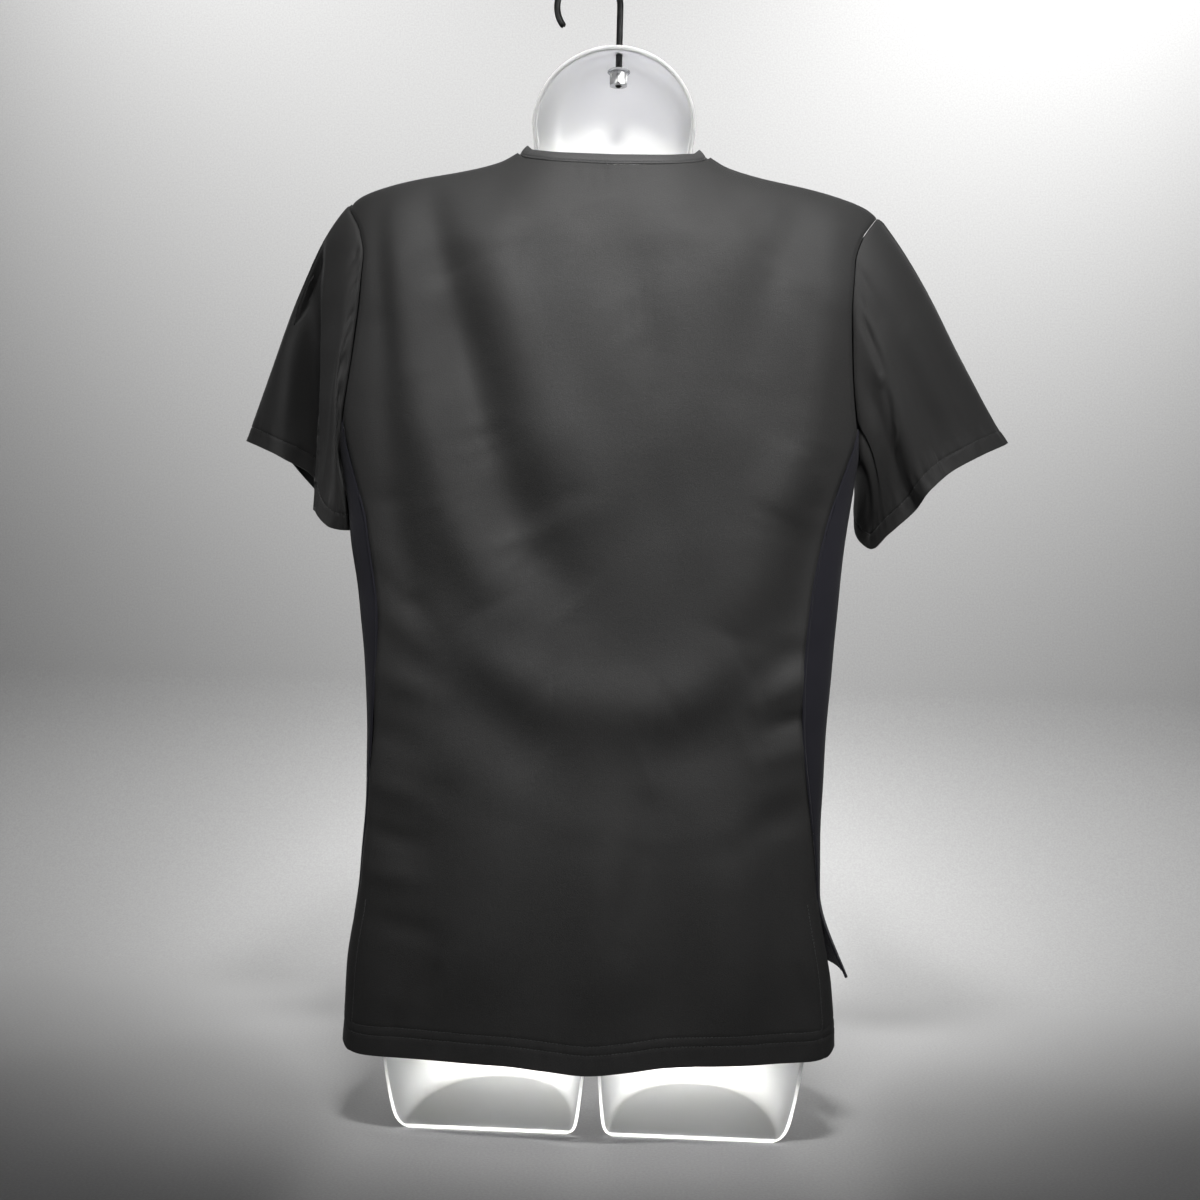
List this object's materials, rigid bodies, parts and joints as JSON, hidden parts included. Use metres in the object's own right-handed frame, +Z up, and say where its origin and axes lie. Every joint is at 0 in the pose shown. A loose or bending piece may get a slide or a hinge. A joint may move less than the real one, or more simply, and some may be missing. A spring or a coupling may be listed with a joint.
{
  "type": "medical scrub top on a torso form",
  "caption": "Short-sleeved medical scrub top with knit side panels and side vents, worn by a limbless hollow-backed torso form that stands on its thigh stubs.",
  "frame": {"origin": "on the floor under the middle of the whole piece, level with the flat ends of the form's two thigh stubs", "axes": "+X to the wearer's left, +Y to the back of the garment, which is the side that the picture shows, +Z up"},
  "size_m": [0.5932, 0.2114, 0.8782],
  "materials": {
    "main_cloth": "fine charcoal twill with a faint sheen",
    "side_knit": "matt blue-black stretch knit",
    "neck_binding": "charcoal twill, stitched flat",
    "form_plastic": "smooth moulded milky white",
    "hook_steel": "dark satin",
    "nut_steel": "bright zinc",
    "washer_plastic": "clear moulded"
  },
  "bodies": {
    "root": {"back_panel": "main_cloth", "front_panel": "main_cloth", "side_panel_left": "side_knit", "side_panel_right": "side_knit", "sleeve_left_back": "main_cloth", "sleeve_left_front": "main_cloth", "sleeve_right_back": "main_cloth", "sleeve_right_front": "main_cloth", "neckband": "neck_binding", "form_stub_left": "form_plastic", "form_stub_right": "form_plastic", "form_hip_left": "form_plastic", "form_hip_right": "form_plastic", "form_waist_left": "form_plastic", "form_waist_right": "form_plastic", "form_chest_left": "form_plastic", "form_chest_right": "form_plastic", "form_shoulder_left": "form_plastic", "form_shoulder_right": "form_plastic", "form_dome": "form_plastic", "form_hook": "hook_steel", "hook_washer": "washer_plastic", "hook_nut": "nut_steel"}
  },
  "joints": []
}
